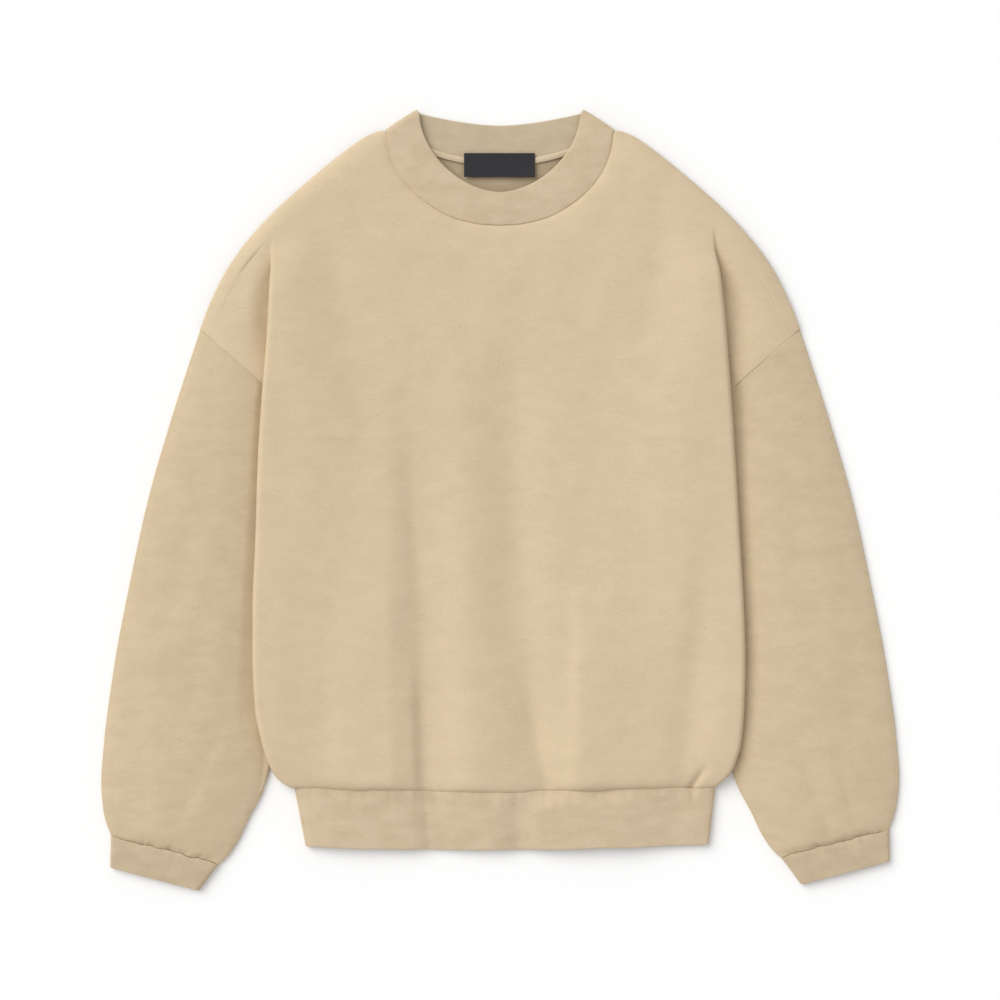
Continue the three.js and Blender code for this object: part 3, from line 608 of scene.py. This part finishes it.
def front_half_row(side, upper, lower):
    """One row of the front's grid from its middle to one side: first down to the underarm, then on to the hem."""
    above = lower == 0
    top_x = float(body_edge_x[side](BODY_EDGE[0][0])) - FLEECE / 2 - EDGE_RADIUS

    def level_at(share, fold_x):
        if above:
            return lerp(front_top_y(share * top_x), UNDERARM[1], upper)
        return lerp(UNDERARM[1], hem_seam_y(TURN[side] * share * fold_x), lower)

    edge_y = float(level_at(1.0, top_x))
    fold_x = float(body_edge_x[side](edge_y)) - FLEECE / 2 - EDGE_RADIUS
    tucked = clamp((upper - PLEAT_START) / (1 - PLEAT_START)) ** 1.1
    seam_x = float(lerp(fold_x, UNDERARM[0] - PLEAT_PAST, tucked) if above else side_seam_x(edge_y))
    tuck = fold_x - seam_x
    neck = NECK_HALF / top_x
    to_neck = [neck * math.sin(s * math.pi / 2) for s in steps(NECK_COLUMNS)]
    shares = np.array(to_neck + [lerp(neck, 1, s) for s in steps(SIDE_COLUMNS, 1)])
    half = shares * fold_x
    y = level_at(shares, fold_x)
    raised = float(smooth(PLEAT_TOP, PLEAT_FLAT + 0.04, upper)) if above else 1.0
    z = front_height(side, half, y, fold_x, tuck, raised)
    row = list(zip(half, y, z))
    edge = tuple(float(v) for v in row[-1])
    if above:
        row += pleat_columns(edge, max(0, tuck - PLEAT_RADIUS), top_x, upper, side)
    else:
        row += side_columns(edge, seam_x)
    row = np.array(row, float)
    flat = np.concatenate([[0], np.cumsum(np.hypot(np.diff(row[:, 0]), np.diff(row[:, 2])))])
    return np.column_stack([TURN[side] * row[:, 0], row[:, 1], row[:, 2], TURN[side] * flat, row[:, 1]])


def front_panel(material):
    levels = [(a, 0) for a in eased(74)] + [(1, b) for b in eased(88, 1)]
    grid = []
    for upper, lower in levels:
        left = front_half_row("left", upper, lower)[::-1]
        right = front_half_row("right", upper, lower)[1:]
        grid.append(np.concatenate([left, right]))
    return cloth("front_cloth", grid, FLEECE, material)


# The back of the body

def back_neck_y(x):
    return BACK_NECK_Y + BACK_NECK_DROP * (x / NECK_HALF) ** 2


def back_panel(material):
    low_x = SIDE_SEAM[-1][1]
    across = np.sin(np.linspace(-1, 1, 161) * math.pi / 2)
    grid = []
    for s in eased(150):
        row = []
        for a in across:
            half = abs(a)
            side = 1 if a >= 0 else -1
            # The outline's upper end at this share of the width
            x_top = half * ARMHOLE_TOP[0]
            if x_top < NECK_HALF - 3:
                y_top = min(float(back_neck_y(x_top)), COLLAR_SIDE_Y)
            else:
                y_top = float(shoulder_y(max(x_top, NECK_HALF)))
            y = lerp(y_top, float(hem_seam_y(side * half * low_x)), s)
            # The half width at this level, from the armhole down
            y_edge = lerp(ARMHOLE_TOP[1], float(hem_seam_y(side * low_x)), s)
            if y_edge > UNDERARM[1]:
                down = (ARMHOLE_TOP[1] - y_edge) / (ARMHOLE_TOP[1] - UNDERARM[1])
                wide = lerp(ARMHOLE_TOP[0], UNDERARM[0] + 2, down)
            else:
                wide = float(side_seam_x(y_edge)) - 1.7
            row.append((side * half * wide, y))
        grid.append(row)
    grid = np.array(grid)
    x, y = grid[..., 0], grid[..., 1]
    inside = np.minimum(smooth(1, 0.86, np.abs(across))[None, :], rounded(y + 274, 40))
    rise = np.maximum(0, fold_heights(BACK_FOLDS, x, y)) + 0.25 * (1 + uneven(x, y, 30, 5))
    # Beside the collar its shoulder edge rises to meet the front's
    half = np.abs(x)
    beside_neck = smooth(NECK_HALF - 4, NECK_HALF + 1, half) * smooth(NECK_HALF + NECK_CORNER, NECK_HALF, half)
    at_shoulder = smooth(10, 1, shoulder_y(np.maximum(half, NECK_HALF)) - y)
    lift = (COLLAR_SEAM_Z - FRONT_Z + 0.4) * beside_neck * at_shoulder
    z = BACK_Z + rise * inside + lift
    return cloth("back_cloth", np.dstack([x, y, z, x, y]), FLEECE, material)


# Sleeves and cuffs

def tube(name, side, rows, thickness, counts, material, folds=(), seed=0, pucker=0.0):
    """A flattened tube of cloth: over its crown, round the outer fold, and back underneath.

    A pucker above 0 gathers the end of the tube, and one below 0 its start.
    """
    rings, top_count, round_count, under_count = counts
    keys = [(i, *row) for i, row in enumerate(rows)]
    out_x, out_y, in_x, in_y, tuck_at, loft_at = (curve(keys, k) for k in range(1, 7))
    low_z = thickness / 2
    radius = (thickness + LAYER) / 2
    ends = radius + thickness / 2
    turn = TURN[side]
    folded = field(folds, (0, -390), (100, 170))
    grid = []
    along = 0.0
    before = None
    widest = 0.0

    def dropped(y):
        return float(y + CUFF_DROP[side] * smooth(-100, -300, y))

    for s in eased(rings):
        at = s * (len(rows) - 1)
        inner = np.array([float(in_x(at)), dropped(in_y(at))])
        outer = np.array([float(out_x(at)), dropped(out_y(at))])
        width = float(np.linalg.norm(outer - inner))
        f = np.array(steps(top_count))
        reach = lerp(ends, width - ends, f)
        there = inner + (outer - inner) * (reach / width)[:, None]
        tuck = float(tuck_at(at))
        shown = crown(f, width, tuck)
        height = low_z + 2 * radius + float(loft_at(at)) * shown
        height = height + folded(f * 100, there[:, 1]) * shown
        bumps = 0.5 * uneven(there[:, 0], there[:, 1], 30, seed) + 0.25 * uneven(there[:, 0], there[:, 1], 13, seed + 1)
        height = height + bumps * shown
        if pucker:
            gather = uneven_along(f * 100, 5.5, seed + 2) + 0.6 * uneven_along(f * 100, 3.1, seed + 3)
            closeness = math.exp(-(((1 - s) * 11) ** 2)) if pucker > 0 else math.exp(-((s * 2.2) ** 2))
            height = height + abs(pucker) * gather * closeness * np.minimum(1, shown * 1.6)
        top = np.column_stack([there, height])

        def bent(centre, start):
            angle = start - np.array(steps(round_count)[1:-1]) * math.pi
            where = centre + radius * np.cos(angle)
            flat_place = inner + (outer - inner) * (where / width)[:, None]
            return np.column_stack([flat_place, low_z + radius + radius * np.sin(angle)])

        u = np.array(steps(under_count))
        back = inner + (outer - inner) * (lerp(width - ends, ends, u) / width)[:, None]
        lift = 1.1 * np.maximum(0, uneven(back[:, 0], back[:, 1], 26, seed + 4)) * np.sin(math.pi * u)
        under = np.column_stack([back, low_z + lift])
        ring = np.concatenate([top, bent(width - ends, math.pi / 2), under, bent(ends, -math.pi / 2)])
        middle = (inner + outer) / 2
        if pucker:
            beside = (outer - inner) / width
            share = (ring[:, :2] - inner) @ beside / width * 100
            wander = 1.1 * uneven_along(share, 9, 60 + turn) + 0.4 * uneven_along(share, 3, 56 + turn)
            ring[:, 0] += wander * closeness * beside[1]
            ring[:, 1] -= wander * closeness * beside[0]
        if before is not None:
            along += float(np.linalg.norm(middle - before))
        before = middle
        gone = np.concatenate([[0], np.cumsum(np.linalg.norm(np.diff(ring[:, :2], axis=0), axis=1))])
        widest = max(widest, gone[-1])
        grid.append(np.column_stack([turn * ring[:, 0], ring[:, 1], ring[:, 2], gone, np.full(len(ring), -along)]))
    first, last = rows[0], rows[-1]
    direction = np.array(
        [turn * (last[0] + last[2] - first[0] - first[2]), last[1] + last[3] - first[1] - first[3], 0.0]
    )
    direction /= np.linalg.norm(direction)
    return cloth(name, grid, thickness, material, closed=True, direction=direction, around=widest)


def waistband(material):
    radius = (RIB + LAYER) / 2
    ends = radius + RIB / 2
    grid = []
    for s in eased(34):
        def place(x, z):
            top = hem_seam_y(x)
            bottom = np.maximum(hem_edge_y(x), top - HEM_BAND - 1) + 0.5 * uneven_along(x, 24, 8)
            return np.column_stack([x, lerp(top, bottom, s), z])

        left, right = (lerp(BAND_TOP[side], BAND_BOTTOM[side], s) - ends for side in ("left", "right"))
        x = lerp(-left, right, np.array(steps(300)))
        seam_y = hem_seam_y(x)
        near = rounded(np.minimum(x + left, right - x), 24)
        from_body = 0.5 * body_folds(x, seam_y + 2)
        folds = lerp(from_body, fold_heights(BAND_FOLDS, x, seam_y - s * HEM_BAND), smooth(0, 0.3, s))
        ripple = (0.45 * uneven_along(x, 7, 3) + 0.25 * uneven_along(x, 4, 9)) * math.exp(-((s * 4) ** 2))
        ripple = ripple + 0.35 * uneven(x, 60 * s + 0 * x, 22, 10)
        raised = BAND_LIFT + 0.9 * math.sin(math.pi * s) ** 0.5 + np.maximum(folds, BAND_DEEPEST) + ripple
        top = place(x, RIB_TOP_Z + BAND_AIR + raised * near)

        def bent(centre, start):
            angle = start - np.array(steps(10)[1:-1]) * math.pi
            tall = radius + BAND_AIR / 2
            return place(centre + radius * np.cos(angle), RIB_LOW_Z + tall + tall * np.sin(angle))

        under = place(lerp(right, -left, np.array(steps(90))), np.full(91, RIB_LOW_Z))
        ring = np.concatenate([top, bent(right, math.pi / 2), under, bent(-left, -math.pi / 2)])
        gone = np.concatenate([[0], np.cumsum(np.abs(np.diff(ring[:, 0])))])
        grid.append(np.column_stack([ring, gone, np.full(len(ring), -s * HEM_BAND)]))
    return cloth("waistband_rib", grid, RIB, material, closed=True, direction=(0, -1, 0), around=grid[0][-1, 3])


def collar(material, inside):
    out_x, out_y = COLLAR_OUT
    free_half = COLLAR_HALF - COLLAR_FOLD * out_x
    seam_half = NECK_HALF + 2.6 - COLLAR_FOLD * out_x
    band = np.array(steps(16))[:, None]

    def across(free, seam, bulge):
        line = lerp(np.array(free, float), np.array(seam, float), band)
        line[:, 2] += bulge * np.sin(math.pi * band[:, 0]) ** 0.7
        return line

    stations = []
    for s in steps(150):
        angle = math.pi * s
        bow = max(math.sin(angle), 0)
        side = -math.cos(angle)
        free = (
            free_half * math.copysign(abs(side) ** (2 / COLLAR_ROUND), side),
            COLLAR_TOP - COLLAR_DIP * bow ** (2 / COLLAR_ROUND),
            lerp(COLLAR_SIDE_Z, COLLAR_FREE_Z + 0.8, bow),
        )
        joined = float(smooth(0, 0.3, bow))
        dropped = COLLAR_SIDE_Y - (NECK_DROP - COLLAR_FOLD * out_y) * bow
        seam = (
            lerp(seam_half, NECK_HALF + 0.5, joined) * side,
            lerp(dropped, float(neckline_y(NECK_HALF * side)) + 0.1, joined),
            lerp(COLLAR_SIDE_Z + 0.8, COLLAR_SEAM_Z, joined),
        )
        stations.append(across(free, seam, COLLAR_BULGE))
    back = []
    for s in steps(110):
        a = 1 - 2 * s
        free = (free_half * a, COLLAR_TOP - COLLAR_BACK_DIP * (1 - abs(a) ** 1.7), RIB_LOW_Z + 0.4 * (1 - a * a))
        seam = (seam_half * a, min(float(back_neck_y(seam_half * a)), COLLAR_SIDE_Y), RIB_LOW_Z)
        back.append(across(free, seam, COLLAR_BACK_BULGE * (1 - a**4)))

    def turn_over(start, end, turn):
        made = []
        for s in steps(10)[1:-1]:
            angle = math.pi * s
            middle = (start + end) / 2
            tall = (start[:, 2] - end[:, 2]) / 2
            reach = np.abs(tall) * math.sin(angle)
            made.append(
                np.column_stack([
                    middle[:, 0] + turn * out_x * reach,
                    middle[:, 1] + out_y * reach,
                    middle[:, 2] + tall * math.cos(angle),
                ])
            )
        return made

    ring = [*stations, *turn_over(stations[-1], back[0], 1), *back, *turn_over(back[-1], stations[0], -1)]
    places = np.stack(ring, axis=1)
    middle = places[len(band) // 2]
    gone = np.concatenate([[0], np.cumsum(np.linalg.norm(np.diff(middle, axis=0), axis=1))])
    x, y = places[..., 0], places[..., 1]
    bumps = np.sin(math.pi * np.linspace(0, 1, len(ring)))
    bumps[len(stations) :] = 0
    places[..., 2] += 0.3 * uneven(x, y, 14, 12) * bumps[None, :]
    u = np.broadcast_to(gone, x.shape)
    v = np.broadcast_to(band * COLLAR_WIDTH, x.shape)
    piece = cloth("collar_rib", np.dstack([places, u, v]), RIB, material, closed=True, around=gone[-1])
    # inside is the darker rib that the faces low in the neck get: painted shade, the same rib cloth
    piece.data.materials.append(inside)
    for face in piece.data.polygons:
        face.material_index = int(face.center.z < COLLAR_SHADE_BELOW_Z * MM)
    return piece


def neck_tape(material):
    x = lerp(-TAPE_HALF, TAPE_HALF, np.array(steps(120)))
    grid = []
    for s in steps(10):
        edge = lerp(0.5, -0.5, s)
        z = RIB + 0.3 + TAPE / 2 + 0.7 * math.sin(math.pi * s) + 0 * x
        grid.append(np.column_stack([x, back_neck_y(x) + edge * TAPE_WIDTH, z, x, s * TAPE_WIDTH + 0 * x]))
    return cloth("neck_tape_cloth", grid, TAPE, material)


def neck_label(material):
    x = lerp(-0.5, 0.5, np.array(steps(80))) * LABEL_SIZE[0]
    grid = []
    for s in steps(30):
        y = LABEL_AT[1] + (0.5 - s) * LABEL_SIZE[1]
        z = LABEL_Z + LABEL / 2 + 0.4 * (2 * x / LABEL_SIZE[0]) ** 2 * s + 0.5 * s**3 + 0 * x
        grid.append(np.column_stack([LABEL_AT[0] + x, y + 0 * x, z, x, y + 0 * x]))
    return cloth("neck_label_cloth", grid, LABEL, material)


# Materials

def linear(colour):
    return [((c / 255 + 0.055) / 1.055) ** 2.4 for c in colour] + [1.0]


class Nodes:
    """Short ways to add and join shader nodes."""

    def __init__(self, name):
        self.material = bpy.data.materials.new(name)
        self.material.use_nodes = True
        self.tree = self.material.node_tree
        self.shader = self.tree.nodes["Principled BSDF"]

    def add(self, kind, inputs=None, **settings):
        node = self.tree.nodes.new(kind)
        for key, value in settings.items():
            setattr(node, key, value)
        for key, value in (inputs or {}).items():
            if isinstance(value, bpy.types.NodeSocket):
                self.tree.links.new(value, node.inputs[key])
            else:
                node.inputs[key].default_value = value
        return node

    def place(self, kind, size):
        """Texture coordinates stretched so that one unit is this size in metres."""
        source = self.add("ShaderNodeTexCoord").outputs[kind]
        return self.add("ShaderNodeMapping", {"Vector": source, "Scale": [1 / s for s in size]}).outputs[0]

    def noise(self, kind, size, detail=2.0, roughness=0.5):
        inputs = {"Vector": self.place(kind, size), "Scale": 1.0, "Detail": detail, "Roughness": roughness}
        return self.add("ShaderNodeTexNoise", inputs).outputs["Fac"]

    def ramp(self, value, low, high, start=0.0, end=1.0):
        inputs = {0: value, 1: low, 2: high, 3: start, 4: end}
        return self.add("ShaderNodeMapRange", inputs, interpolation_type="SMOOTHSTEP").outputs[0]

    def math(self, operation, a, b):
        return self.add("ShaderNodeMath", {0: a, 1: b}, operation=operation).outputs[0]

    def mix(self, share, a, b, blend="MIX"):
        node = self.add("ShaderNodeMix", {0: share, 6: a, 7: b}, data_type="RGBA", blend_type=blend)
        return node.outputs[2]

    def finish(self, colour, height, distance, roughness, sheen, strength=1.0):
        bump = self.add("ShaderNodeBump", {"Height": height, "Distance": distance, "Strength": strength})
        self.tree.links.new(colour, self.shader.inputs["Base Color"])
        self.tree.links.new(bump.outputs[0], self.shader.inputs["Normal"])
        self.shader.inputs["Roughness"].default_value = roughness
        self.shader.inputs["Sheen Weight"].default_value = sheen
        self.shader.inputs["Sheen Roughness"].default_value = 0.5
        self.shader.inputs["Specular IOR Level"].default_value = 0.25
        return self.material


def fleece_material(name, light, dark, ribs=0.0, slubs=1.0):
    """Matt cotton knit: mottled, with short slubs across it, and faint ribs where it is a rib."""
    n = Nodes(name)
    patches = n.ramp(n.noise("Object", (0.024, 0.012, 0.03), 4.0, 0.62), 0.34, 0.66)
    colour = n.mix(patches, linear(light), linear(dark))
    tint = n.ramp(n.noise("Object", (0.015, 0.010, 0.02), 2.0), 0.45, 0.65)
    colour = n.mix(n.math("MULTIPLY", tint, 0.12), colour, linear([light[0] - 8, light[1] + 2, light[2] - 6]))
    thread = n.noise("UV", (0.0090, 0.0016, 1.0), 2.0, 0.55)
    spots = n.ramp(n.noise("Object", (0.020, 0.013, 0.02), 2.0), 0.5, 0.62)
    streak = n.math("MULTIPLY", n.ramp(thread, 0.6, 0.68), spots)
    shade = n.ramp(n.noise("UV", (0.0060, 0.0013, 1.0), 3.0, 0.65), 0.25, 0.75, 0.978, 1.018)
    grey = n.add("ShaderNodeCombineColor", {0: shade, 1: shade, 2: shade}).outputs[0]
    colour = n.mix(1.0, colour, grey, "MULTIPLY")
    colour = n.mix(n.math("MULTIPLY", streak, 0.8 * slubs), colour, linear([min(255, c + 12) for c in light]))
    grain = n.noise("UV", (0.0012, 0.0009, 1.0), 3.0, 0.7)
    height = n.math("ADD", n.math("MULTIPLY", streak, 0.7 * slubs), grain)
    if ribs:
        wave = n.add(
            "ShaderNodeTexWave",
            {"Vector": n.place("UV", (0.0026, 1.0, 1.0)), "Scale": 0.05, "Distortion": 0.0},
            bands_direction="X",
        ).outputs["Fac"]
        height = n.math("ADD", height, n.math("MULTIPLY", wave, ribs))
    return n.finish(colour, height, 0.0006, 0.95, 0.06, 0.6)


def label_material():
    n = Nodes("satin_label")
    weave = n.noise("UV", (0.0006, 0.0012, 1.0), 2.0)
    colour = n.mix(n.ramp(weave, 0.3, 0.7), linear([36, 34, 36]), linear([46, 44, 48]))
    return n.finish(colour, weave, 0.0003, 0.42, 0.1, 0.5)


def plain(name, colour):
    material = bpy.data.materials.new(name)
    material.use_nodes = True
    shader = material.node_tree.nodes["Principled BSDF"]
    shader.inputs["Base Color"].default_value = colour
    shader.inputs["Roughness"].default_value = 1.0
    shader.inputs["Specular IOR Level"].default_value = 0.0
    return material


fleece = fleece_material("fleece", (216, 195, 163), (212, 191, 159))
# A darker copy of the body's fleece for the sleeves: painted shade
sleeve_fleece_painted_shade = fleece_material("fleece_sleeves_painted_shade", (211, 190, 158), (205, 184, 152))
# A darker copy of the fleece for the back, seen inside the neck: painted shadow of the collar and label
back_fleece_painted_shade = fleece_material("fleece_back_painted_shade", (187, 168, 138), (180, 160, 131))
rib = fleece_material("rib", (211, 190, 160), (203, 182, 151), ribs=0.25, slubs=0.5)
# A darker copy of the waistband's rib for the cuffs: painted shade
cuff_rib_painted_shade = fleece_material("rib_cuffs_painted_shade", (204, 184, 154), (196, 175, 146), ribs=0.25, slubs=0.5)
# A darker copy of the rib for the collar's inner side: painted shade
neck_rib_painted_shade = fleece_material("rib_inside_painted_shade", (200, 183, 154), (194, 176, 148), ribs=0.25, slubs=0.5)
tape = fleece_material("tape", (214, 196, 166), (206, 186, 156), slubs=0.2)

# Rings of a tube, and steps over its crown, round a fold and underneath
SLEEVE_COUNTS = (120, 110, 10, 34)
CUFF_COUNTS = (26, 110, 10, 50)
pieces = {
    "body_front": front_panel(fleece),
    "body_back": back_panel(back_fleece_painted_shade),
    "waistband": waistband(rib),
    "collar": collar(rib, neck_rib_painted_shade),
    "neck_tape": neck_tape(tape),
    "neck_label": neck_label(label_material()),
}
for side, seed in (("left", 20), ("right", 40)):
    pieces[f"sleeve_{side}"] = tube(
        f"sleeve_{side}_cloth", side, SLEEVE, FLEECE, SLEEVE_COUNTS, sleeve_fleece_painted_shade, SLEEVE_FOLDS[side], seed, 0.9
    )
    pieces[f"cuff_{side}"] = tube(
        f"cuff_{side}_rib", side, CUFF, RIB, CUFF_COUNTS, cuff_rib_painted_shade, seed=seed + 10, pucker=-0.5
    )

# Each piece hangs from the root, and its CAD part of the same name is hidden
for node, piece in pieces.items():
    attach(piece, "root")
    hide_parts(node)

floor_mesh = bpy.data.meshes.new("floor")
FLOOR_HALF = 6
FLOOR_Z = -0.0004
floor_corners = [(x * FLOOR_HALF, y * FLOOR_HALF, FLOOR_Z) for x, y in ((-1, -1), (1, -1), (1, 1), (-1, 1))]
floor_mesh.from_pydata(floor_corners, [], [(0, 1, 2, 3)])
floor_mesh.materials.append(plain("floor_white", (0.985, 0.985, 0.985, 1)))
floor = bpy.data.objects.new("floor", floor_mesh)
bpy.context.scene.collection.objects.link(floor)

# Light and camera
world = bpy.data.worlds.new("studio")
bpy.context.scene.world = world
world.use_nodes = True
world.node_tree.nodes["Background"].inputs[0].default_value = (1, 1, 1, 1)
world.node_tree.nodes["Background"].inputs[1].default_value = 0.62

key_data = bpy.data.lights.new("key", "SUN")
key_data.energy = 1.85
key_data.angle = math.radians(48)
key = bpy.data.objects.new("key", key_data)
key.rotation_euler = (-Vector((-0.82, 0.66, 0.95))).to_track_quat("-Z", "Y").to_euler()
bpy.context.scene.collection.objects.link(key)

CAMERA_HEIGHT = 3.0
SHOWN_WIDTH = 0.95  # of the picture, at the height of the cloth
CLOTH_HEIGHT = 0.006
SENSOR_WIDTH = 36
camera_data = bpy.data.cameras.new("camera")
camera_data.sensor_width = SENSOR_WIDTH
camera_data.lens = SENSOR_WIDTH * (CAMERA_HEIGHT - CLOTH_HEIGHT) / SHOWN_WIDTH
camera = bpy.data.objects.new("camera", camera_data)
camera.location = (0, 0, CAMERA_HEIGHT)
bpy.context.scene.collection.objects.link(camera)
bpy.context.scene.camera = camera
bpy.context.scene.view_settings.view_transform = "Standard"
